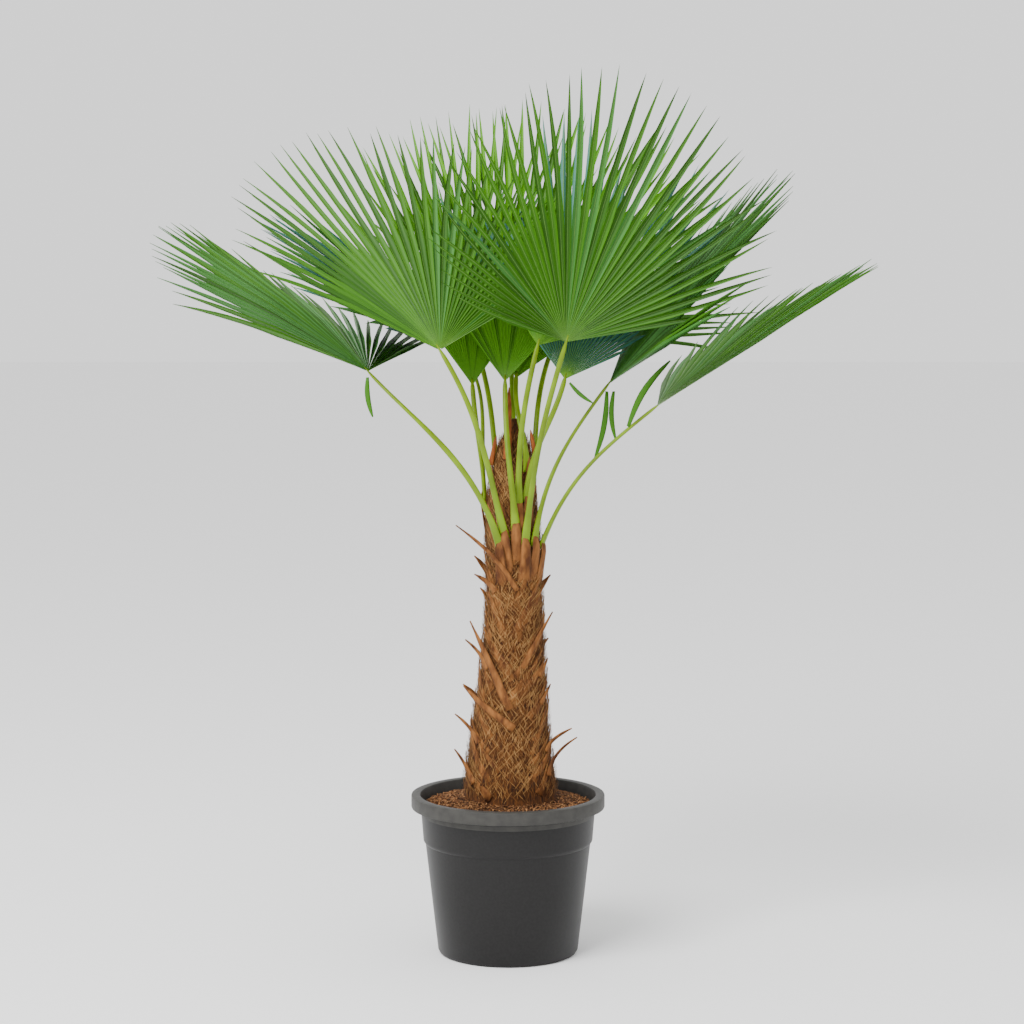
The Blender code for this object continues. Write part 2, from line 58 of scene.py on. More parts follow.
UP = Vector((0.0, 0.0, 1.0))
TO_VIEWER = Vector((0.0, -1.0, 0.0))

# Pot: radius and height of its outside from the underside up, then of the rim and down inside it
POT_OUTLINE = (
    (0.1155, 0.0),
    (0.1205, 0.0012),
    (0.1235, 0.0060),
    (0.1350, 0.1050),
    (0.1452, 0.1955),
    (0.1468, 0.1972),
    (0.1486, 0.2000),
    (0.1490, 0.2025),
    (0.1492, 0.2060),
    (0.1532, 0.2560),
    (0.1534, 0.2580),
)
RIM_OUTLINE = (
    (0.1540, 0.2583),
    (0.1670, 0.2583),
    (0.1693, 0.2592),
    (0.1700, 0.2612),
    (0.1700, 0.2790),
    (0.1693, 0.2811),
    (0.1670, 0.2820),
    (0.1570, 0.2820),
    (0.1545, 0.2812),
    (0.1535, 0.2790),
    (0.1530, 0.2500),
    (0.1500, 0.2300),
)
UNDERSIDE_TOLERANCE = 1e-6
SMOOTH_ANGLE = 35

# Substrate: a bed that rises from the pot's wall to the trunk, and the shreds that lie on it
SOIL_EDGE_HEIGHT = 0.262
SOIL_TRUNK_HEIGHT = 0.276
SOIL_EDGE_RADIUS = 0.1495
SOIL_TRUNK_RADIUS = 0.08
SOIL_SINK = 0.003
BED_SIDES = 120
BED_ROWS = 22
BED_REACH = 0.078
BED_LUMP = 0.002
BED_DEPTH = 0.03
BED_FLOOR_SHARE = 0.98
SHRED_INNER = 0.070
SHRED_OUTER = 0.147
SHRED_LIMIT = 0.149
SHRED_LIFT = (0.0005, 0.005)
SHRED_TILT = 0.25
SHRED_LENGTHS = (0.3, 1.0)
SHRED_BOW = 0.0025
SHRED_WIDTH = (0.0014, 0.0022)

# Trunk: height, radius and how far the centre lies to the right
TRUNK_TOP = 0.940
TRUNK_OUTLINE = (
    (0.2600, 0.0840, 0.0040),
    (0.320, 0.0775, 0.0035),
    (0.375, 0.0695, 0.0030),
    (0.435, 0.0635, 0.0050),
    (0.490, 0.0570, 0.0080),
    (0.555, 0.0520, 0.0095),
    (0.625, 0.0475, 0.0110),
    (0.715, 0.0470, 0.0095),
    (0.800, 0.0410, 0.0060),
    (0.880, 0.0300, 0.0095),
    (0.915, 0.0190, 0.0115),
    (TRUNK_TOP, 0.0050, 0.0125),
)
CROWN_FOOT = 0.760
CROWN_FLATTENING = 0.50
CROWN_SETBACK = 0.030
TRUNK_SIDES = 72
TRUNK_ROWS = 130
TRUNK_ROUGHNESS = 0.0012
TOP_FADE = 4
BOOT_RELIEF = 0.05
BOOTS_ROUND = 5
BOOT_ROWS = 12

# Loose fibres: each is three points that leave the trunk a little at their free end
FIBRE_LOWEST = 0.02
FIBRE_HIGHEST = 0.05
FIBRE_TOP = 0.015
FIBRE_LENGTHS = (0.4, 1.3)
FIBRE_SLANT = (0.05, 0.8)
FIBRE_RISE = 0.8
FIBRE_ROOT = 0.0005
FIBRE_FLARE = (0.001, 0.0075)
FIBRE_WIDTH = 0.0009
FIBRE_LEAST_RADIUS = 0.02
STRIP_END_WIDTH = 0.45

# Straps that hug the trunk: all have the same lens-shaped section and narrow to a point
STRAP_SIDES = 6
STRAP_POINT_START = 0.8
STRAP_POINT_LENGTH = 0.2
STRAP_POINT_NARROWING = 0.8
STRAP_THINNING = 0.5
STUMP_STEPS = 12
STUMP_SEAT = 0.0035
STUMP_CURL = 2.2
STUMP_THICKNESS = 0.005
STUMP_TAPER = 0.4
SHEATH_STEPS = 9
SHEATH_BOW = 0.002
SHEATH_TAPER = 0.45

# Flat old bases: they start near the front or back centre line and sweep up to the sides
BOOT_LOWEST = 0.285
BOOT_HIGHEST = 0.79
BOOT_SPACING = 0.026
BOOT_JITTER = 0.010
BOOT_START = (-0.10, 0.75)
BOOT_SWEEP = (0.7, 1.3)
BOOT_RISE = (0.055, 0.110)
BOOT_TOP = 0.02
BOOT_STEPS = 8
BOOT_ROOT = 0.0004
BOOT_STAND_OFF = 0.0045
BOOT_WIDTH = (0.012, 0.024)
BOOT_THICKNESS = 0.0030
BOOT_TAPER = 0.70

# Brown bases that wrap the feet of the stalks
COVER_STEPS = 8
COVER_DROP = 0.060
COVER_LENGTH = 0.085
COVER_ROOT = 0.001
COVER_STAND_OFF = 0.0115
COVER_STEEPNESS = 1.5
COVER_WIDTH = 0.026
COVER_THICKNESS = 0.0035
COVER_TAPER = 0.45

# Stalks
STALK_ROWS = 34
STALK_SIDES = 12
STALK_FOOT_WIDTH = 0.018
STALK_FOOT_DEPTH = 0.009
STALK_WIDTH = 0.011
STALK_DEPTH = 0.0085
STALK_TOP_WIDTH = 0.0085
STALK_TOP_DEPTH = 0.0065
STALK_HOLLOW = 0.75
STALK_SEAT = 0.0012
STALK_FOOT_LEAN = 0.14
STALK_FOOT_PULL = 0.42
STALK_HUB_PULL = 0.40
STALK_HUB_RISE = 0.10
STALK_CLASP_LENGTH = 0.16
STALK_POINT_START = 0.93
STALK_POINT_LENGTH = 0.07
STALK_POINT_NARROWING = 0.75
HUB_OVERRUN = 0.012

# Fans: the rule of the solids, with more and finer folds
FOLD_SHARE = 1.35
EDGE_POWER = 1.5
REACHES = (1.0, 0.9, 0.8, 0.7, 0.6, 0.5, 0.4, 0.3, 0.2)
CLEARANCE = 0.0030
WEDGE_START = 0.08
WEDGE_MIDDLE = 0.5
WEDGE_LEAST_STEP = 1.2
WEDGE_LAST_STEP = 0.8
WEDGE_TIP_WIDTH = 0.002
HUB_SHARE = 0.010
LEAF_ROWS = 16
FINGER_SHORTEST = 0.965
NOTCH_SHARE = 0.47
NOTCH_VARIATION = 0.03
NOTCH_LIMIT = 0.85
NOTCH_LEAST_REACH = 0.5
FINGER_BEND = 0.014
FINGER_DROOP = (-0.010, 0.006)
FINGER_ROUNDNESS = 1.6
FINGER_FULLNESS = 0.9
FINGER_WAIST = 0.18
PLEAT_DEPTH = 0.72
PLEAT_LEAST_WIDTH = 0.0004
RIB_WIDTH = 0.0011
RIB_RISE = 0.0005
RIB_NARROWING = 0.7
RIB_ROOT_SHARE = 0.6

# Tints are dealt out finger by finger, each from its own fan's list
MID, DEEP, GREY, BRIGHT, GLAUCOUS, RIB = range(6)
USUAL_TINTS = (MID, MID, DEEP, MID, DEEP, GREY)
TINTS = {
    "frond_01": (MID, GREY, GREY, DEEP),
    "frond_03": (BRIGHT, BRIGHT, MID),
    "frond_04": (BRIGHT, BRIGHT, MID),
    "frond_05": (BRIGHT, BRIGHT, MID),
    "frond_06": (MID, BRIGHT, MID, GREY),
    "frond_08": (GREY, DEEP, MID, GREY),
    "frond_09": (DEEP, MID, GREY, MID),
    "frond_10": (GLAUCOUS, GLAUCOUS, GLAUCOUS),
    "frond_11": (GLAUCOUS, GLAUCOUS, GREY),
    "frond_12": (DEEP, MID),
    "frond_13": (DEEP, GREY),
    "frond_14": (DEEP, GREY),
}

# Single leaflets
LEAFLET_STEPS = 9
LEAFLET_SIDES = 6
LEAFLET_THICKNESS = 0.0008
LEAFLET_END_SHARE = 0.25
LEAFLET_START = 0.08
LEAFLET_FULLNESS = 0.7

# Stage
FLOOR_SIZE = 40.0
FLOOR_HEIGHT = -0.0005
SKY_STRENGTH = 1.35
SOFT_BOX_SIZE = 3.0
SOFT_BOX_PLACE = (-2.2, -3.0, 4.2)
SOFT_BOX_AIM = (0, 0, 0.9)
SENSOR_WIDTH = 36.0
CAMERA_PLACE = (0.007, -5.0, 1.30)
CAMERA_TILT = 84.05

Frond = namedtuple(
    "Frond",
    "name hub lean tip turn length spread_a spread_b cup_a cup_b loss_a loss_b sag folds"
    " foot_height foot_angle foot_lean",
)
FRONDS = (
    Frond(
        "frond_07", (0.098, -0.140, 1.081), 18, -3, -6, 0.479, 86, 62, 36, 10, 0.42, 0.30, 0.01, 30,
        0.722, -68, 6,
    ),
    Frond(
        "frond_02", (-0.115, -0.110, 1.066), -37, 22, 36, 0.507, 38, 92, 3, 22, 0.30, 0.38, 0.028, 28,
        0.735, -104, -14,
    ),
    Frond(
        "frond_01", (-0.241, -0.030, 1.026), -50, 42, 89, 0.461, 83, 60, -10, 22, 0.05, 0.18, 0.04, 30,
        0.716, -114, -14,
    ),
    Frond(
        "frond_09", (0.256, -0.050, 0.967), 54, -17, 102, 0.466, 64, 64, 20, 2, 0.28, 0.22, 0.014, 26,
        0.718, -26, 20,
    ),
    Frond(
        "frond_08", (0.176, 0.020, 1.002), 39, -8, 84, 0.505, 64, 52, 2, 0, 0.35, 0.10, 0.04, 26,
        0.724, -47, 8,
    ),
    Frond(
        "frond_06", (0.051, -0.060, 1.072), 16, 22, 0, 0.500, 50, 62, 4, 6, 0.20, 0.28, 0.01, 24,
        0.790, -76, 0,
    ),
    Frond(
        "frond_04", (-0.005, 0.005, 1.006), 1, 18, 0, 0.528, 38, 42, 4, 4, 0.16, 0.16, 0.012, 18,
        0.752, -83, -5,
    ),
    Frond(
        "frond_03", (-0.062, 0.030, 0.998), -4, 20, 0, 0.535, 32, 40, 4, 4, 0.16, 0.16, 0.012, 18,
        0.800, 172, -4,
    ),
    Frond(
        "frond_05", (0.014, 0.055, 1.009), 9, 22, 0, 0.545, 36, 46, 4, 4, 0.16, 0.16, 0.012, 18,
        0.850, -50, -2,
    ),
    Frond(
        "frond_10", (0.098, -0.030, 1.012), 14, 20, 180, 0.510, 50, 48, 4, 4, 0.2, 0.2, 0.01, 20,
        0.800, -56, 2,
    ),
    Frond(
        "frond_11", (-0.099, 0.100, 1.065), -60, 20, 112, 0.430, 50, 48, 2, 0, 0.2, 0.2, 0.03, 20,
        0.755, 140, -16,
    ),
    Frond(
        "frond_13", (-0.062, 0.185, 1.070), -26, 44, 0, 0.430, 60, 60, 8, 8, 0.2, 0.2, 0.04, 24,
        0.735, 112, -6,
    ),
    Frond(
        "frond_12", (0.085, 0.170, 1.070), 30, 42, 0, 0.430, 60, 60, 8, 8, 0.2, 0.2, 0.04, 24,
        0.745, 50, 4,
    ),
    Frond(
        "frond_14", (0.004, 0.215, 1.060), -3, 64, 0, 0.420, 58, 58, 8, 8, 0.2, 0.2, 0.05, 22,
        0.700, 86, 0,
    ),
)

Stump = namedtuple("Stump", "height angle tip_height tip_angle stand_off width")
STUMPS = (
    Stump(0.648, -84, 0.760, -158, 0.058, 0.011),
    Stump(0.644, -128, 0.673, -160, 0.022, 0.014),
    Stump(0.442, -92, 0.591, -162, 0.027, 0.018),
    Stump(0.508, -140, 0.557, -170, 0.030, 0.015),
    Stump(0.409, -85, 0.476, -166, 0.025, 0.016),
    Stump(0.379, -139, 0.426, -170, 0.031, 0.014),
    Stump(0.309, -141, 0.363, -172, 0.023, 0.016),
    Stump(0.513, -73, 0.607, -20, 0.019, 0.012),
    Stump(0.496, -38, 0.524, -12, 0.004, 0.012),
    Stump(0.448, -38, 0.478, -10, 0.006, 0.012),
    Stump(0.363, -31, 0.401, -10, 0.039, 0.014),
    Stump(0.321, -33, 0.387, -14, 0.049, 0.015),
    Stump(0.600, 60, 0.665, 25, 0.020, 0.018),
    Stump(0.550, 100, 0.640, 142, 0.025, 0.020),
    Stump(0.470, 80, 0.550, 40, 0.025, 0.020),
    Stump(0.400, 120, 0.470, 158, 0.030, 0.020),
    Stump(0.335, 85, 0.395, 56, 0.030, 0.020),
    Stump(0.640, 128, 0.700, 166, 0.020, 0.018),
)

Sheath = namedtuple("Sheath", "name foot tip width depth")
SHEATHS = (
    Sheath("sheath_spear", (-0.001, -0.012, 0.872), (0.002, 0.014, 0.995), 0.015, 0.006),
    Sheath("sheath_right", (0.048, 0.010, 0.872), (0.039, 0.008, 0.922), 0.010, 0.005),
    Sheath("sheath_left", (-0.030, 0.012, 0.860), (-0.020, 0.004, 0.912), 0.010, 0.005),
)

Leaflet = namedtuple("Leaflet", "name foot tip width bow")
LEAFLETS = (
    Leaflet("leaflet_01", (-0.241, -0.046, 1.016), (-0.232, -0.052, 0.948), 0.009, 0.004),
    Leaflet("leaflet_08_long", (0.172, 0.018, 0.988), (0.150, 0.010, 0.868), 0.010, -0.006),
    Leaflet("leaflet_08_short", (0.184, 0.020, 0.988), (0.188, 0.012, 0.902), 0.009, 0.006),
    Leaflet("leaflet_09", (0.206, -0.060, 0.932), (0.277, -0.070, 1.046), 0.011, -0.010),
    Leaflet("leaflet_10", (0.106, -0.036, 1.006), (0.146, -0.052, 0.972), 0.007, 0.003),
)

Finger = namedtuple("Finger", "number angle pitch length notch bend droop tint")


# Colours and materials

SPECULAR_LEVEL = 0.22
NOISE_DETAIL = 8.0
DARK_END = 0.35
LIGHT_START = 0.65
BUMP_STRENGTH = 0.5


def linear(hex_colour):
    """Linear RGBA of an sRGB hex colour."""
    values = [int(hex_colour[k:k + 2], 16) / 255 for k in (1, 3, 5)]
    return tuple(v / 12.92 if v <= 0.04045 else ((v + 0.055) / 1.055) ** 2.4 for v in values) + (1.0,)


def add_node(tree, kind, settings=None, links=None):
    """A node with its settings and its links: input name to (node, output name) or a value."""
    node = tree.nodes.new(kind)
    for name, value in (settings or {}).items():
        setattr(node, name, value)
    for name, source in (links or {}).items():
        if isinstance(source, tuple) and isinstance(source[0], bpy.types.Node):
            tree.links.new(source[0].outputs[source[1]], node.inputs[name])
        else:
            node.inputs[name].default_value = source
    return node


def plain(name, colour, roughness):
    """Principled material of one colour."""
    paint = bpy.data.materials.new(name)
    paint.use_nodes = True
    shader = paint.node_tree.nodes["Principled BSDF"]
    shader.inputs["Base Color"].default_value = colour
    shader.inputs["Roughness"].default_value = roughness
    return paint


def speckled(name, dark, light, scale, roughness, bump=0.0, stretch=(1, 1, 1), coordinate="Object"):
    """Principled material whose colour wanders between two tones, with a bump of the same pattern.

    The scale is in patches per metre, so 250 is a patch each 4 mm.
    """
    paint = bpy.data.materials.new(name)
    paint.use_nodes = True
    tree = paint.node_tree
    shader = tree.nodes["Principled BSDF"]
    shader.inputs["Roughness"].default_value = roughness
    shader.inputs["Specular IOR Level"].default_value = SPECULAR_LEVEL
    place = add_node(tree, "ShaderNodeTexCoord")
    layout = {"Vector": (place, coordinate), "Scale": stretch}
    mapping = add_node(tree, "ShaderNodeMapping", None, layout)
    pattern = {"Vector": (mapping, "Vector"), "Scale": scale, "Detail": NOISE_DETAIL}
    noise = add_node(tree, "ShaderNodeTexNoise", None, pattern)
    ramp = add_node(tree, "ShaderNodeValToRGB", None, {"Fac": (noise, "Fac")})
    ramp.color_ramp.elements[0].position = DARK_END
    ramp.color_ramp.elements[0].color = linear(dark)
    ramp.color_ramp.elements[1].position = LIGHT_START
    ramp.color_ramp.elements[1].color = linear(light)
    tree.links.new(ramp.outputs["Color"], shader.inputs["Base Color"])
    if bump:
        relief = {"Height": (noise, "Fac"), "Strength": BUMP_STRENGTH, "Distance": bump}
        bumps = add_node(tree, "ShaderNodeBump", None, relief)
        tree.links.new(bumps.outputs["Normal"], shader.inputs["Normal"])
    return paint


def moulded_polypropylene():
    """Recycled grey-black plastic: a dull sheen, with a faint mottle from the mould, 4 mm across."""
    return speckled("moulded_polypropylene", "#171616", "#1c1b1b", 250.0, 0.42, 0.00005)


def dusty_rim_with_painted_highlight():
    """The rolled rim is painted paler in patches of about 17 mm: partly dust it catches, partly a
    painted highlight where light falls on its roll.
    """
    return speckled("polypropylene_rim_dust_and_painted_highlight", "#333230", "#3c3b38", 60.0, 0.5, 0.00005)


def shredded_coir():
    """Dark damp coir and bark crumbs, about 6 mm."""
    return speckled("shredded_coir", "#2c1a0f", "#5a3a22", 160.0, 0.95, 0.002)


def coir_shades():
    """Shreds of torn husk: dull, and paler where they have dried. Their tone changes each 11 mm."""
    return [
        speckled("coir_shred_dark", "#3a2314", "#4e3220", 90.0, 0.95),
        speckled("coir_shred_mid", "#6a4226", "#7d5230", 90.0, 0.95),
        speckled("coir_shred_pale", "#8a5f3a", "#9c7048", 90.0, 0.95),
    ]


def matted_fibre():
    """Trunk mat: brown fibres about half a millimetre thick.

    They are too fine to show, so they are drawn as upright streaks 3 mm wide and 21 mm long.
    """
    return speckled("matted_trunk_fibre", "#27150a", "#593516", 60.0, 0.95, 0.003, (5, 5, 0.8))


def fibre_shades():
    """Loose fibres of the leaf sheaths: dry and dull, dark near the mat and bleached at their ends."""
    return [
        speckled("trunk_fibre_dark", "#3a2210", "#523217", 60.0, 0.95),
        speckled("trunk_fibre_tan", "#6a4322", "#7f542c", 60.0, 0.95),
        speckled("trunk_fibre_pale", "#8c653a", "#a37a4a", 60.0, 0.95),
    ]


def dry_leaf_base():
    """Dried leaf base: tan to dark brown, in upright streaks 11 mm wide and 32 mm long."""
    return speckled("dry_leaf_base", "#47260f", "#85552a", 90.0, 0.85, 0.002, (1, 1, 0.35))


def papery_sheath():
    """Orange-brown papery sheath of the newest leaves, in streaks 5 mm wide and 29 mm long."""
    return speckled("papery_leaf_sheath", "#6e3612", "#9a5524", 70.0, 0.75, 0.0008, (3, 3, 0.5))


def green_stalk():
    """Smooth waxy stalk: yellow-green with a satin sheen, its tone changing each 50 mm."""
    return speckled("waxy_leaf_stalk", "#5c7404", "#72900a", 20.0, 0.38)


def leaf_tints():
    """Satin leaf tissue in the tints of a crown.

    The map counts folds sideways and the finger's length upwards, so the veins are 27 to a fold,
    about half a millimetre each, and change tone four or five times along a finger.
    """
    rows = (
        ("leaf_mid_green", "#265603", "#42780a"),
        ("leaf_deep_green", "#1c4603", "#336206"),
        ("leaf_grey_green", "#2f641f", "#457c34"),
        ("leaf_bright_green", "#3f8000", "#5f9e02"),
        ("leaf_glaucous_underside", "#2f6254", "#467c6c"),
    )
    return [
        speckled(name, dark, light, 9.0, 0.5, 0.0002, (3, 0.5, 1), "UV")
        for name, dark, light in rows
    ]


def leaf_rib():
    """Firm rib along each fold, smoother and paler than the tissue beside it."""
    return plain("pale_leaf_rib", linear("#5a8a1c"), 0.4)


def studio_paper():
    """Matt white background paper."""
    return plain("white_studio_paper", (0.93, 0.93, 0.93, 1.0), 0.9)


# Helpers for shapes


def joined_piece(name, vertices, faces, paints, slots=None, smooth=True, corners=None):
    """One mesh from lists of points and faces, with a paint slot for each face."""
    mesh = bpy.data.meshes.new(name)
    mesh.from_pydata([tuple(v) for v in vertices], [], faces)
    for paint in paints:
        mesh.materials.append(paint)
    if slots is not None:
        mesh.polygons.foreach_set("material_index", slots)
    mesh.polygons.foreach_set("use_smooth", [smooth] * len(mesh.polygons))
    if corners is not None:
        layer = mesh.uv_layers.new(name="UVMap")
        flat = np.array(corners, dtype=np.float32)
        index = np.empty(len(mesh.loops), dtype=np.int32)
        mesh.loops.foreach_get("vertex_index", index)
        layer.data.foreach_set("uv", flat[index].ravel())
    mesh.validate()
    body = bpy.data.objects.new(name, mesh)
    bpy.context.collection.objects.link(body)
    return body


def around(count):
    """Angles of points spread evenly round a circle."""
    return [2 * math.pi * k / count for k in range(count)]


def tube(vertices, faces, rings):
    """Adds the faces of rings of points, closed at both ends, to the lists."""
    start = len(vertices)
    count = len(rings[0])
    for ring in rings:
        vertices.extend(ring)
    for row in range(len(rings) - 1):
        first = start + row * count
        for k in range(count):
            ahead = (k + 1) % count
            faces.append((first + k, first + ahead, first + count + ahead, first + count + k))
    faces.append(tuple(reversed(range(start, start + count))))
    last = start + (len(rings) - 1) * count
    faces.append(tuple(range(last, last + count)))


def tubes(all_rings):
    """Points and faces of several tubes."""
    vertices, faces = [], []
    for rings in all_rings:
        tube(vertices, faces, rings)
    return vertices, faces


def tangent(points, k):
    """Direction of a line of points at one of them."""
    return (points[min(k + 1, len(points) - 1)] - points[max(k - 1, 0)]).normalized()


def outwards(angle):
    """Level direction away from the trunk's axis."""
    return Vector((math.cos(angle), math.sin(angle), 0.0))


def strips(lines, width):
    """Thin flat strips along lines of three points, each with a facing direction."""
    vertices, faces = [], []
    for points, out in lines:
        start = len(vertices)
        for k, point in enumerate(points):
            share = 1.0 if k == 1 else STRIP_END_WIDTH
            side = tangent(points, k).cross(out).normalized() * width * share / 2
            vertices.extend((point + side, point - side))
        faces.append((start, start + 1, start + 3, start + 2))
        faces.append((start + 2, start + 3, start + 5, start + 4))
    return vertices, faces


# Trunk


def crown_share(height):
    """How far up the crown part of the trunk a height lies."""
    return max(0.0, (height - CROWN_FOOT) / (TRUNK_TOP - CROWN_FOOT))


def along_trunk(height, column):
    """Value of one column of the outline at a height."""
    for below, above in zip(TRUNK_OUTLINE, TRUNK_OUTLINE[1:]):
        if height <= above[0]:
            share = (height - below[0]) / (above[0] - below[0])
            return below[column] + (above[column] - below[column]) * share
    return TRUNK_OUTLINE[-1][column]


def trunk_axis(height):
    return Vector((along_trunk(height, 2), CROWN_SETBACK * crown_share(height), height))


def trunk_radius(height):
    return along_trunk(height, 1)


def trunk_flatness(height):
    """Depth of the trunk over its width."""
    return 1.0 - CROWN_FLATTENING * min(1.0, 2 * crown_share(height))


def trunk_point(height, angle, stand_off):
    """Point at a distance off the trunk's mean surface."""
    reach = trunk_radius(height)
    out = outwards(angle)
    flat = trunk_flatness(height)
    return trunk_axis(height) + Vector((reach * out.x, reach * out.y * flat, 0.0)) + out * stand_off


def trunk_rings():
    """Rings of the trunk with the relief of its old leaf boots, which fades out at the top."""
    draw = random.Random(21)
    foot = TRUNK_OUTLINE[0][0]
    rings = []
    for row in range(TRUNK_ROWS):
        share = row / (TRUNK_ROWS - 1)
        height = foot + (TRUNK_TOP - foot) * share
        fade = min(1.0, TOP_FADE * (1 - share))
        ring = []
        for a in around(TRUNK_SIDES):
            left = math.sin(BOOTS_ROUND * a + math.pi * BOOT_ROWS * share)
            right = math.sin(BOOTS_ROUND * a - math.pi * BOOT_ROWS * share)
            lift = trunk_radius(height) * BOOT_RELIEF * fade * 0.5 * left * right
            rough = fade * draw.uniform(-TRUNK_ROUGHNESS, TRUNK_ROUGHNESS)
            ring.append(trunk_point(height, a, lift + rough))
        rings.append(ring)
    return rings, draw


def fibre_line(draw, usual_length):
    """Three points of a loose fibre, and the direction it faces."""
    foot = TRUNK_OUTLINE[0][0]
    height = draw.uniform(foot + FIBRE_LOWEST, TRUNK_TOP - FIBRE_HIGHEST)
    angle = draw.uniform(0, 2 * math.pi)
    length = usual_length * draw.uniform(*FIBRE_LENGTHS)
    slant = draw.choice((-1, 1)) * draw.uniform(*FIBRE_SLANT)
    sweep = slant * length / max(trunk_radius(height), FIBRE_LEAST_RADIUS)
    top = min(TRUNK_TOP - FIBRE_TOP, height + length * FIBRE_RISE)
    flare = draw.uniform(*FIBRE_FLARE)
    points = [
        trunk_point(height, angle, FIBRE_ROOT),
        trunk_point((height + top) / 2, angle + sweep / 2, flare * 0.5),
        trunk_point(top, angle + sweep, flare),
    ]
    return points, outwards(angle)


# Substrate


def soil_height(radius):
    """Height of the bed's top, which rises in a straight slope to the trunk."""
    slope = (radius - SOIL_TRUNK_RADIUS) / (SOIL_EDGE_RADIUS - SOIL_TRUNK_RADIUS)
    share = 1.0 - min(1.0, max(0.0, slope))
    return SOIL_EDGE_HEIGHT - SOIL_SINK + (SOIL_TRUNK_HEIGHT - SOIL_EDGE_HEIGHT) * share


def bed_rings(draw):
    """Rings of the coir bed, from its floor up the side and inwards under the trunk."""
    rings = []
    for row in range(BED_ROWS):
        radius = SOIL_EDGE_RADIUS - BED_REACH * row / (BED_ROWS - 1)
        ring = []
        for a in around(BED_SIDES):
            height = soil_height(radius) + draw.uniform(-BED_LUMP, BED_LUMP)
            ring.append(Vector((radius * math.cos(a), radius * math.sin(a), height)))
        rings.append(ring)
    low = SOIL_EDGE_HEIGHT - BED_DEPTH
    floor = [Vector((p.x * BED_FLOOR_SHARE, p.y * BED_FLOOR_SHARE, low)) for p in rings[0]]
    return [floor] + rings


def shred_points(draw, usual_length):
    """Three points of a shred that lies on the bed."""
    radius = math.sqrt(draw.uniform(SHRED_INNER ** 2, SHRED_OUTER ** 2))
    angle = draw.uniform(0, 2 * math.pi)
    height = soil_height(radius) + draw.uniform(*SHRED_LIFT)
    centre = Vector((radius * math.cos(angle), radius * math.sin(angle), height))
    turn = draw.uniform(0, math.pi)
    tilt = draw.uniform(-SHRED_TILT, SHRED_TILT)
    along = Vector((math.cos(turn), math.sin(turn), tilt))
    half = usual_length * draw.uniform(*SHRED_LENGTHS) / 2
    bow = Vector((0, 0, draw.uniform(0.0, SHRED_BOW)))
    return [centre - along * half, centre + bow, centre + along * half]


# Fans


def blade_axes(frond):
    """Axis, upper side and sideways direction of a blade."""
    lean, tip, turn = (math.radians(v) for v in (frond.lean, frond.tip, frond.turn))
    axis = Vector((math.sin(lean) * math.cos(tip), math.sin(tip), math.cos(lean) * math.cos(tip)))
    facing = (TO_VIEWER - axis * TO_VIEWER.dot(axis)).normalized()
    skyward = facing.cross(axis) * (1.0 if lean >= 0 else -1.0)
    upper = facing * math.cos(turn) + skyward * math.sin(turn)
    return axis, upper, upper.cross(axis)


def fold_direction(frond, axes, angle):
    """Direction along a fold and the normal of the blade there."""
    axis, upper, sideways = axes
    spread = frond.spread_a if angle > 0 else frond.spread_b
    cup_limit = frond.cup_a if angle > 0 else frond.cup_b
    share = angle / math.radians(spread)
    cup = math.radians(cup_limit) * share * share
    flat = axis * math.cos(angle) + sideways * math.sin(angle)
    return flat * math.cos(cup) + upper * math.sin(cup), upper * math.cos(cup) - flat * math.sin(cup)


def fold_length(frond, angle):
    """Length of a fold, which falls off towards the sides of the fan."""
    spread = frond.spread_a if angle > 0 else frond.spread_b
    edge = frond.loss_a if angle > 0 else frond.loss_b
    return frond.length * (1.0 - edge * abs(angle / math.radians(spread)) ** EDGE_POWER)


def blade_point(frond, axes, angle, distance, lift, offset=0.0):
    """Point of the blade: out along a fold, lifted off it, and moved sideways."""
    along, normal = fold_direction(frond, axes, angle)
    share = distance / frond.length
    point = Vector(frond.hub) + along * distance + normal * lift
    point += normal.cross(along) * offset
    point.z -= frond.sag * frond.length * share * share
    return point


def wedge(frond, axes, angle, pitch, reach):
    """Plain solid round one finger, for testing that its place is free."""
    top = fold_length(frond, angle) * reach
    start = frond.length * WEDGE_START
    half = fold_length(frond, angle) * WEDGE_MIDDLE
    middle = max(start * WEDGE_LEAST_STEP, min(half, top * WEDGE_LAST_STEP))
    opening = math.tan(pitch / 2)
    rings = []
    for distance, wide in ((start, start * opening), (middle, middle * opening), (top, WEDGE_TIP_WIDTH)):
        rings.append([
            blade_point(frond, axes, angle, distance, lift, offset)
            for lift, offset in (
                (CLEARANCE, wide), (CLEARANCE, -wide), (-CLEARANCE, -wide), (-CLEARANCE, wide),
            )
        ])
    return BVHTree.FromPolygons(*tubes([rings]))


def free_reach(frond, axes, angle, pitch, others):
    """Largest share of a finger's length that touches no earlier body."""
    for reach in REACHES:
        probe = wedge(frond, axes, angle, pitch, reach)
        if not any(probe.overlap(other) for other in others):
            return reach
    return REACHES[-1]


def finger_width(share, finger):
    """Half width of a finger at a share of its length: it widens to the notch and then narrows."""
    opening = math.tan(finger.pitch / 2)
    if share <= finger.notch:
        return share * finger.length * opening
    widest = finger.notch * finger.length * opening
    beyond = (share - finger.notch) / (1.0 - finger.notch)
    waist = 1.0 - FINGER_WAIST * math.sin(math.pi * min(1.0, 2 * beyond))
    return widest * (1.0 - beyond ** FINGER_ROUNDNESS) ** FINGER_FULLNESS * waist


def leaf_share(row):
    """Share of a finger's length at a row of its points."""
    return HUB_SHARE + (1.0 - HUB_SHARE) * row / (LEAF_ROWS - 1)


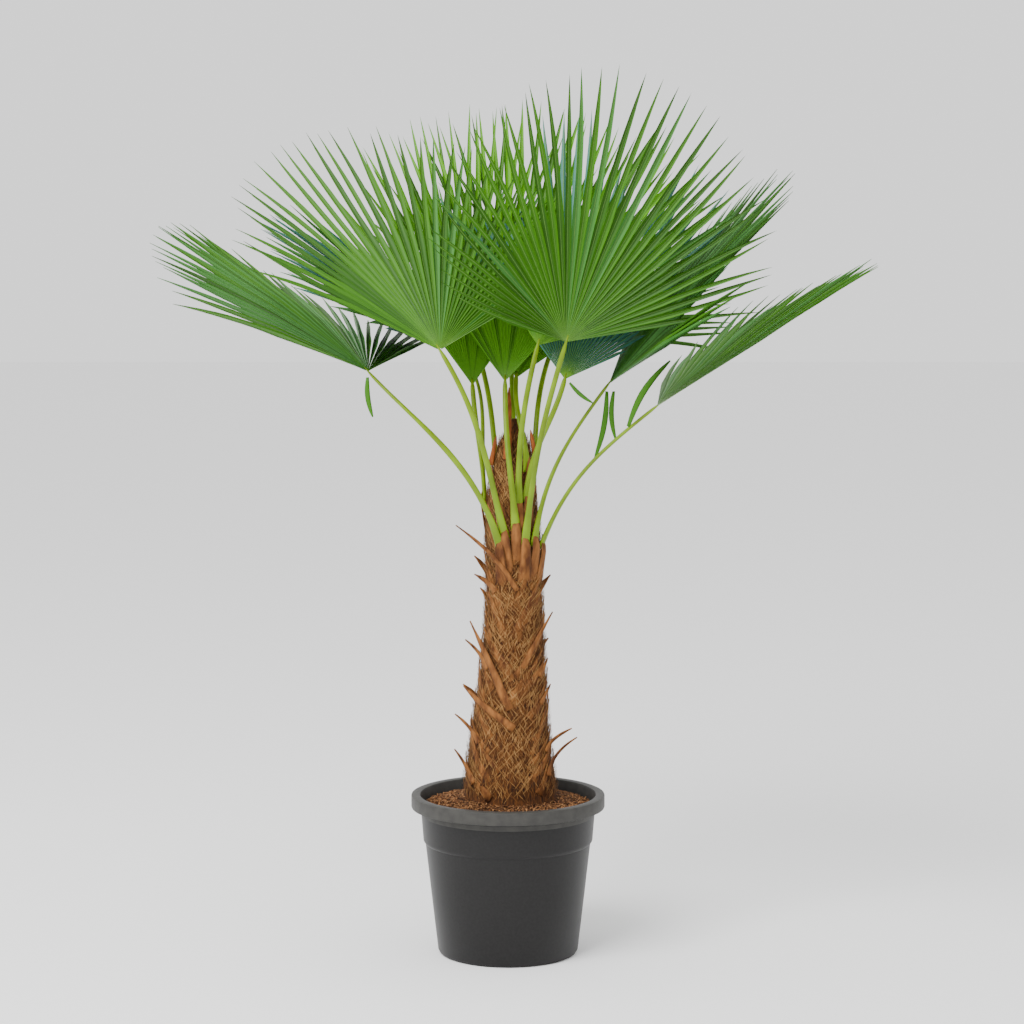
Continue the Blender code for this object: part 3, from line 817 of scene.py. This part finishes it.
def drawn_finger(frond, draw, number, angle, pitch, reach):
    """A finger with its own length, notch, bend, droop and tint."""
    length = fold_length(frond, angle) * reach * draw.uniform(FINGER_SHORTEST, 1.0)
    notch = NOTCH_SHARE + draw.uniform(-NOTCH_VARIATION, NOTCH_VARIATION)
    notch = min(NOTCH_LIMIT, notch / max(reach, NOTCH_LEAST_REACH))
    bend = draw.uniform(-FINGER_BEND, FINGER_BEND) * reach
    droop = draw.uniform(*FINGER_DROOP) * reach
    tint = draw.choice(TINTS.get(frond.name, USUAL_TINTS))
    return Finger(number, angle, pitch, length, notch, bend, droop, tint)


def add_finger(frond, axes, finger, vertices, faces, slots, corners):
    """Adds the V-shaped tissue of one finger to the lists."""
    start = len(vertices)
    for row in range(LEAF_ROWS):
        share = leaf_share(row)
        wide = finger_width(share, finger)
        ridge = max(wide, PLEAT_LEAST_WIDTH) * PLEAT_DEPTH
        beyond = max(0.0, (share - finger.notch) / (1.0 - finger.notch))
        curl = finger.droop * beyond * beyond
        shift = finger.bend * beyond * beyond
        distance = finger.length * share
        for side, lift in ((1, ridge), (0, -ridge), (-1, ridge)):
            offset = shift + side * wide
            vertices.append(blade_point(frond, axes, finger.angle, distance, lift + curl, offset))
            corners.append((finger.number + side * 0.5, share))
    for row in range(LEAF_ROWS - 1):
        first = start + row * 3
        for a in (first, first + 1):
            faces.append((a, a + 1, a + 4, a + 3))
            slots.append(finger.tint)


def add_ribs(frond, axes, finger, middles, vertices, faces, slots, corners):
    """Adds a narrow rib above and one below the middle of a finger to the lists."""
    along, normal = fold_direction(frond, axes, finger.angle)
    for turned in (1, -1):
        start = len(vertices)
        rise = normal * RIB_RISE * turned
        for row, middle in enumerate(middles):
            share = leaf_share(row)
            side = normal.cross(along) * RIB_WIDTH * (1.0 - RIB_NARROWING * share) / 2
            side *= RIB_ROOT_SHARE + share
            vertices.extend((middle + side + rise, middle - side + rise))
            corners.extend(((0.0, share), (1.0, share)))
        for row in range(len(middles) - 1):
            first = start + row * 2
            faces.append((first, first + 1, first + 3, first + 2))
            slots.append(RIB)


def fan(frond, others):
    """Pleated fan of fine folds, joined to about half way and free beyond, each with a pale rib."""
    draw = random.Random(int(frond.name[-2:]) * 7)
    axes = blade_axes(frond)
    low = -math.radians(frond.spread_b)
    folds = round(frond.folds * FOLD_SHARE)
    pitch = (math.radians(frond.spread_a) - low) / folds
    vertices, faces, slots, corners = [], [], [], []
    for number in range(folds):
        angle = low + pitch * (number + 0.5)
        reach = free_reach(frond, axes, angle, pitch, others)
        finger = drawn_finger(frond, draw, number, angle, pitch, reach)
        start = len(vertices)
        add_finger(frond, axes, finger, vertices, faces, slots, corners)
        middles = vertices[start + 1:len(vertices) - 3:3]
        add_ribs(frond, axes, finger, middles, vertices, faces, slots, corners)
    return vertices, faces, slots, corners


# Stalks


def bezier(start, pull_start, pull_end, end, share):
    """Point of a curve that leaves and arrives along its two pulls."""
    rest = 1.0 - share
    return (
        start * rest ** 3
        + pull_start * 3 * rest * rest * share
        + pull_end * 3 * rest * share * share
        + end * share ** 3
    )


def stalk_points(frond, axis):
    """Middle line of a stalk, from its seat on the trunk to just past the hub."""
    out = outwards(math.radians(frond.foot_angle))
    level = Vector((out.x, out.y * trunk_flatness(frond.foot_height), 0.0))
    rim = level * trunk_radius(frond.foot_height)
    foot = trunk_axis(frond.foot_height) + rim + out * (STALK_FOOT_DEPTH / 2 + STALK_SEAT)
    arrive = (axis + UP * STALK_HUB_RISE).normalized()
    hub = Vector(frond.hub) + arrive * HUB_OVERRUN
    span = (hub - foot).length
    lean = math.radians(frond.foot_lean)
    leave = Vector((math.sin(lean), out.y * STALK_FOOT_LEAN, math.cos(lean))).normalized()
    pull_start = foot + leave * span * STALK_FOOT_PULL
    pull_end = hub - arrive * span * STALK_HUB_PULL
    shares = [k / (STALK_ROWS - 1) for k in range(STALK_ROWS)]
    return shares, [bezier(foot, pull_start, pull_end, hub, share) for share in shares]


def stalk_size(usual, at_top, at_foot, share, clasp):
    """Width or depth of a stalk between its clasping foot and its slender top."""
    return usual + (at_top - usual) * share + (at_foot - usual) * clasp


def stalk_rings(frond):
    """Rings of a stalk: a clasping foot, a slender arch and a point in the fan's hub."""
    axis, _, sideways = blade_axes(frond)
    angle = math.radians(frond.foot_angle)
    across_foot = Vector((-math.sin(angle), math.cos(angle), 0.0))
    if sideways.dot(across_foot) < 0:
        sideways = -sideways
    shares, points = stalk_points(frond, axis)
    rings = []
    for k, point in enumerate(points):
        share = shares[k]
        along = tangent(points, k)
        across = across_foot.lerp(sideways, share)
        side = (across - along * across.dot(along)).normalized()
        face = side.cross(along)
        clasp = max(0.0, 1.0 - share / STALK_CLASP_LENGTH)
        wide = stalk_size(STALK_WIDTH, STALK_TOP_WIDTH, STALK_FOOT_WIDTH, share, clasp)
        deep = stalk_size(STALK_DEPTH, STALK_TOP_DEPTH, STALK_FOOT_DEPTH, share, clasp)
        narrow = 1.0
        if share >= STALK_POINT_START:
            narrow = 1.0 - STALK_POINT_NARROWING * (share - STALK_POINT_START) / STALK_POINT_LENGTH
        ring = []
        for a in around(STALK_SIDES):
            hollow = STALK_HOLLOW if math.sin(a) > 0 else 1.0
            level = side * wide * narrow / 2 * math.cos(a)
            ring.append(point + level + face * deep * narrow / 2 * math.sin(a) * hollow)
        rings.append(ring)
    return rings


# Straps that hug the trunk


def strap_rings(points, outs, width, thickness, taper):
    """Lens-shaped rings along a line of points, narrowing to the tip."""
    rings = []
    for k, point in enumerate(points):
        along = tangent(points, k)
        side = outs[k].cross(along).normalized()
        face = side.cross(along)
        share = k / (len(points) - 1)
        narrow = 1.0
        if share >= STRAP_POINT_START:
            narrow = 1.0 - STRAP_POINT_NARROWING * (share - STRAP_POINT_START) / STRAP_POINT_LENGTH
        wide = width * (1.0 - taper * share) * narrow / 2
        deep = thickness * (1.0 - STRAP_THINNING * share) / 2
        rings.append([
            point + side * wide * math.cos(a) + face * deep * math.sin(a) for a in around(STRAP_SIDES)
        ])
    return rings


def stump_rings(row):
    """Old leaf base that hugs the trunk from its foot and stands off at its torn tip."""
    points, outs = [], []
    for k in range(STUMP_STEPS + 1):
        share = k / STUMP_STEPS
        height = row.height + (row.tip_height - row.height) * share
        out = outwards(math.radians(row.angle + (row.tip_angle - row.angle) * share))
        reach = trunk_radius(height) + STUMP_SEAT + row.stand_off * share ** STUMP_CURL
        points.append(trunk_axis(height) + out * reach)
        outs.append(out)
    return strap_rings(points, outs, row.width, STUMP_THICKNESS, STUMP_TAPER)


def sheath_rings(row):
    """Papery sheath, bowed a little towards the viewer."""
    foot, tip = Vector(row.foot), Vector(row.tip)
    steps = range(SHEATH_STEPS + 1)
    shares = [k / SHEATH_STEPS for k in steps]
    bows = [TO_VIEWER * SHEATH_BOW * math.sin(math.pi * k / SHEATH_STEPS) for k in steps]
    points = [foot.lerp(tip, share) + bow for share, bow in zip(shares, bows)]
    return strap_rings(points, [TO_VIEWER] * len(points), row.width, row.depth, SHEATH_TAPER)


def boot_rings(draw, height, angle, sweep):
    """Flat base of a fallen leaf that crosses the trunk on the slant."""
    rise = draw.uniform(*BOOT_RISE)
    points, outs = [], []
    for k in range(BOOT_STEPS + 1):
        share = k / BOOT_STEPS
        here = min(TRUNK_TOP - BOOT_TOP, height + rise * share)
        turn = angle + sweep * share
        points.append(trunk_point(here, turn, BOOT_ROOT + BOOT_STAND_OFF * share * share))
        outs.append(outwards(turn))
    return strap_rings(points, outs, draw.uniform(*BOOT_WIDTH), BOOT_THICKNESS, BOOT_TAPER)


def foot_cover_rings(frond):
    """Brown base that wraps the foot of a stalk."""
    angle = math.radians(frond.foot_angle)
    points = []
    for k in range(COVER_STEPS + 1):
        share = k / COVER_STEPS
        height = frond.foot_height - COVER_DROP + COVER_LENGTH * share
        stand_off = COVER_ROOT + COVER_STAND_OFF * min(1.0, share * COVER_STEEPNESS)
        points.append(trunk_point(height, angle, stand_off))
    outs = [outwards(angle)] * len(points)
    return strap_rings(points, outs, COVER_WIDTH, COVER_THICKNESS, COVER_TAPER)


def leaflet_rings(row):
    """Single leaflet with a thin lens-shaped section, bowed sideways."""
    foot, tip = Vector(row.foot), Vector(row.tip)
    side = (tip - foot).cross(TO_VIEWER).normalized()
    rings = []
    for k in range(LEAFLET_STEPS + 1):
        share = k / LEAFLET_STEPS
        point = foot.lerp(tip, share) + side * row.bow * math.sin(math.pi * k / LEAFLET_STEPS)
        place = min(1.0, LEAFLET_START + (1.0 - LEAFLET_START) * k / LEAFLET_STEPS)
        full = math.sin(math.pi * place) ** LEAFLET_FULLNESS
        wide = row.width * (LEAFLET_END_SHARE + (1.0 - LEAFLET_END_SHARE) * full) / 2
        rings.append([
            point + side * wide * math.cos(a) + TO_VIEWER * LEAFLET_THICKNESS * math.sin(a)
            for a in around(LEAFLET_SIDES)
        ])
    return rings


# Pot


def extruded_turn(name, outline, sides, paint):
    """A turned wall: a circle extruded ring by ring and scaled to each radius."""
    bpy.ops.object.select_all(action="DESELECT")
    radius, height = outline[0]
    place = (0, 0, height)
    bpy.ops.mesh.primitive_circle_add(vertices=sides, radius=radius, location=place, fill_type="NOTHING")
    body = bpy.context.object
    body.name = name
    bpy.ops.object.transform_apply(location=True, rotation=False, scale=False)
    bpy.ops.object.mode_set(mode="EDIT")
    bpy.ops.mesh.select_all(action="SELECT")
    for wide, high in outline[1:]:
        bpy.ops.mesh.extrude_region_move(TRANSFORM_OT_translate={"value": (0, 0, high - height)})
        bpy.ops.transform.resize(value=(wide / radius, wide / radius, 1), center_override=(0, 0, high))
        radius, height = wide, high
    bpy.ops.object.mode_set(mode="OBJECT")
    body.data.materials.clear()
    body.data.materials.append(paint)
    return body


def close_underside(body):
    """Fills the ring that stands on the ground, if there is one, and turns all faces outwards."""
    bpy.ops.object.mode_set(mode="EDIT")
    bpy.ops.mesh.select_all(action="DESELECT")
    bpy.ops.object.mode_set(mode="OBJECT")
    for vertex in body.data.vertices:
        vertex.select = vertex.co.z < UNDERSIDE_TOLERANCE
    bpy.ops.object.mode_set(mode="EDIT")
    bpy.ops.mesh.edge_face_add()
    bpy.ops.mesh.select_all(action="SELECT")
    bpy.ops.mesh.normals_make_consistent(inside=False)
    bpy.ops.object.mode_set(mode="OBJECT")
    bpy.ops.object.shade_smooth_by_angle(angle=math.radians(SMOOTH_ANGLE))


# Settings a user would change


class PalmSettings(bpy.types.PropertyGroup):
    """Numbers and lengths of the plant's finest pieces, and the pot's facets."""

    fibre_count: IntProperty(
        name="Trunk fibres",
        description="Number of loose fibres on the trunk",
        default=15000,
        min=0,
    )
    shred_count: IntProperty(
        name="Coir shreds",
        description="Number of shreds on the substrate",
        default=5200,
        min=0,
    )
    fibre_length: FloatProperty(
        name="Fibre length",
        description="Length of a loose fibre",
        default=0.030,
        subtype="DISTANCE",
        unit="LENGTH",
    )
    shred_length: FloatProperty(
        name="Shred length",
        description="Length of a coir shred",
        default=0.016,
        subtype="DISTANCE",
        unit="LENGTH",
    )
    pot_sides: IntProperty(
        name="Pot sides",
        description="Facets round the pot",
        default=128,
        min=24,
    )


class StageSettings(bpy.types.PropertyGroup):
    """The plain studio round the plant."""

    lens: FloatProperty(
        name="Lens",
        description="Focal length of the camera in millimetres",
        default=101.56,
    )
    light_power: FloatProperty(
        name="Light power",
        description="Power of the large soft light",
        default=380.0,
        subtype="POWER",
        unit="POWER",
    )
    sky: FloatVectorProperty(
        name="Surroundings",
        description="Colour of the light all round",
        default=(1.0, 1.0, 1.0),
        size=3,
        subtype="COLOR",
    )


# Operators, one for each piece or group of like pieces


class PALM_OT_pot(bpy.types.Operator):
    """Nursery pot with a step ring and a broad rolled rim"""

    bl_idname = "palm.pot"
    bl_label = "Pot"

    def execute(self, context):
        sides = context.scene.palm.pot_sides
        wall = extruded_turn("pot_wall", POT_OUTLINE, sides, moulded_polypropylene())
        close_underside(wall)
        # The rim's paler tone is partly dust and partly a painted highlight.
        rim = extruded_turn("pot_rim", RIM_OUTLINE, sides, dusty_rim_with_painted_highlight())
        close_underside(rim)
        for piece in (wall, rim):
            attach(piece, "root")
            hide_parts("pot")
        return {"FINISHED"}


class PALM_OT_substrate(bpy.types.Operator):
    """Shaggy coir that fills the pot and rises to the trunk"""

    bl_idname = "palm.substrate"
    bl_label = "Substrate"

    def execute(self, context):
        settings = context.scene.palm
        draw = random.Random(5)
        bed = joined_piece("coir_bed", *tubes([bed_rings(draw)]), [shredded_coir()])
        shades = coir_shades()
        for number, paint in enumerate(shades):
            lines = []
            for _ in range(settings.shred_count // len(shades)):
                points = shred_points(draw, settings.shred_length)
                if max(math.hypot(p.x, p.y) for p in points) < SHRED_LIMIT:
                    lines.append((points, UP))
            pieces = strips(lines, draw.uniform(*SHRED_WIDTH))
            shreds = joined_piece("coir_shreds_%d" % number, *pieces, [paint], smooth=False)
            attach(shreds, "root")
            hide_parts("substrate")
        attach(bed, "root")
        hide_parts("substrate")
        return {"FINISHED"}


class PALM_OT_trunk(bpy.types.Operator):
    """Tapering trunk with the relief of its old leaf boots, and its loose fibres"""

    bl_idname = "palm.trunk"
    bl_label = "Trunk"

    def execute(self, context):
        settings = context.scene.palm
        rings, draw = trunk_rings()
        bark = joined_piece("trunk_mat", *tubes([rings]), [matted_fibre()])
        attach(bark, "root")
        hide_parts("trunk")
        shades = fibre_shades()
        for number, paint in enumerate(shades):
            count = settings.fibre_count // len(shades)
            lines = [fibre_line(draw, settings.fibre_length) for _ in range(count)]
            pieces = strips(lines, FIBRE_WIDTH)
            fibres = joined_piece("trunk_fibres_%d" % number, *pieces, [paint], smooth=False)
            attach(fibres, "root")
            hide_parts("trunk")
        return {"FINISHED"}


class PALM_OT_old_bases(bpy.types.Operator):
    """Old leaf bases that cross on the trunk, the torn stubs and the papery sheaths"""

    bl_idname = "palm.old_bases"
    bl_label = "Old leaf bases"

    def execute(self, context):
        draw = random.Random(33)
        straps = []
        height = BOOT_LOWEST
        while height < BOOT_HIGHEST:
            for middle in (-math.pi / 2, math.pi / 2):
                for side in (-1, 1):
                    start = height + draw.uniform(-BOOT_JITTER, BOOT_JITTER)
                    angle = middle + side * draw.uniform(*BOOT_START)
                    sweep = side * draw.uniform(*BOOT_SWEEP)
                    straps.append(boot_rings(draw, start, angle, sweep))
            height += BOOT_SPACING
        straps += [foot_cover_rings(frond) for frond in FRONDS]
        boots = joined_piece("trunk_boots", *tubes(straps), [dry_leaf_base()])
        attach(boots, "root")
        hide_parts("trunk")
        straps = [stump_rings(row) for row in STUMPS]
        stubs = joined_piece("old_leaf_stubs", *tubes(straps), [dry_leaf_base()])
        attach(stubs, "root")
        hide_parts(*["stump_%02d" % (k + 1) for k in range(len(STUMPS))])
        straps = [sheath_rings(row) for row in SHEATHS]
        sheaths = joined_piece("leaf_sheaths", *tubes(straps), [papery_sheath()])
        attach(sheaths, "root")
        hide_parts(*[row.name for row in SHEATHS])
        return {"FINISHED"}


class PALM_OT_stalks(bpy.types.Operator):
    """Waxy leaf stalks that arch from the trunk to the hubs"""

    bl_idname = "palm.stalks"
    bl_label = "Leaf stalks"

    def execute(self, context):
        shapes = tubes([stalk_rings(frond) for frond in FRONDS])
        stalks = joined_piece("leaf_stalks", *shapes, [green_stalk()])
        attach(stalks, "root")
        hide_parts(*[frond.name + "_stalk" for frond in FRONDS])
        return {"FINISHED"}


class PALM_OT_fans(bpy.types.Operator):
    """Pleated fans and the single leaflets beside them"""

    bl_idname = "palm.fans"
    bl_label = "Fans"

    def execute(self, context):
        paints = leaf_tints() + [leaf_rib()]
        others = [BVHTree.FromPolygons(*tubes([stalk_rings(frond)])) for frond in FRONDS]
        for frond in FRONDS:
            vertices, faces, slots, corners = fan(frond, others)
            others.append(BVHTree.FromPolygons(vertices, faces))
            name = frond.name + "_fan"
            blade = joined_piece(name, vertices, faces, paints, slots, corners=corners)
            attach(blade, "root")
            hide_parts(frond.name + "_blade")
        shapes = tubes([leaflet_rings(row) for row in LEAFLETS])
        single = joined_piece("single_leaflets", *shapes, [paints[MID]])
        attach(single, "root")
        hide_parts(*[row.name for row in LEAFLETS])
        return {"FINISHED"}


class PALM_OT_stage(bpy.types.Operator):
    """White floor, soft light and the camera of the photo"""

    bl_idname = "palm.stage"
    bl_label = "Stage"

    def execute(self, context):
        settings = context.scene.palm_stage
        bpy.ops.object.select_all(action="DESELECT")
        bpy.ops.mesh.primitive_plane_add(size=FLOOR_SIZE, location=(0, 0, FLOOR_HEIGHT))
        floor = bpy.context.object
        floor.name = "studio_floor"
        floor.data.materials.append(studio_paper())
        world = bpy.data.worlds.new("studio")
        world.use_nodes = True
        sky = world.node_tree.nodes["Background"]
        sky.inputs["Color"].default_value = (*settings.sky, 1.0)
        sky.inputs["Strength"].default_value = SKY_STRENGTH
        context.scene.world = world
        light_data = bpy.data.lights.new("soft_box", "AREA")
        light_data.energy = settings.light_power
        light_data.size = SOFT_BOX_SIZE
        light = bpy.data.objects.new("soft_box", light_data)
        light.location = SOFT_BOX_PLACE
        aim = Vector(SOFT_BOX_AIM) - light.location
        light.rotation_euler = aim.to_track_quat("-Z", "Y").to_euler()
        context.collection.objects.link(light)
        camera_data = bpy.data.cameras.new("camera")
        camera_data.lens = settings.lens
        camera_data.sensor_width = SENSOR_WIDTH
        camera = bpy.data.objects.new("camera", camera_data)
        camera.location = CAMERA_PLACE
        camera.rotation_euler = (math.radians(CAMERA_TILT), 0.0, 0.0)
        context.collection.objects.link(camera)
        context.scene.camera = camera
        return {"FINISHED"}


class PALM_PT_sidebar(bpy.types.Panel):
    """Lists the settings and pieces of the palm"""

    bl_idname = "PALM_PT_sidebar"
    bl_label = "Windmill Palm"
    bl_space_type = "VIEW_3D"
    bl_region_type = "UI"
    bl_category = "Palm"

    def draw(self, context):
        layout = self.layout
        for settings in (context.scene.palm, context.scene.palm_stage):
            for name in settings.__annotations__:
                layout.prop(settings, name)
        for operator in OPERATORS:
            layout.operator(operator.bl_idname)


OPERATORS = (
    PALM_OT_pot,
    PALM_OT_substrate,
    PALM_OT_trunk,
    PALM_OT_old_bases,
    PALM_OT_stalks,
    PALM_OT_fans,
    PALM_OT_stage,
)
CLASSES = (PalmSettings, StageSettings, *OPERATORS, PALM_PT_sidebar)


def register():
    for item in CLASSES:
        bpy.utils.register_class(item)
    bpy.types.Scene.palm = PointerProperty(type=PalmSettings)
    bpy.types.Scene.palm_stage = PointerProperty(type=StageSettings)


def unregister():
    del bpy.types.Scene.palm_stage
    del bpy.types.Scene.palm
    for item in reversed(CLASSES):
        bpy.utils.unregister_class(item)


def main():
    register()
    bpy.ops.palm.pot()
    bpy.ops.palm.substrate()
    bpy.ops.palm.trunk()
    bpy.ops.palm.old_bases()
    bpy.ops.palm.stalks()
    bpy.ops.palm.fans()
    bpy.ops.palm.stage()


if __name__ == "__main__":
    main()
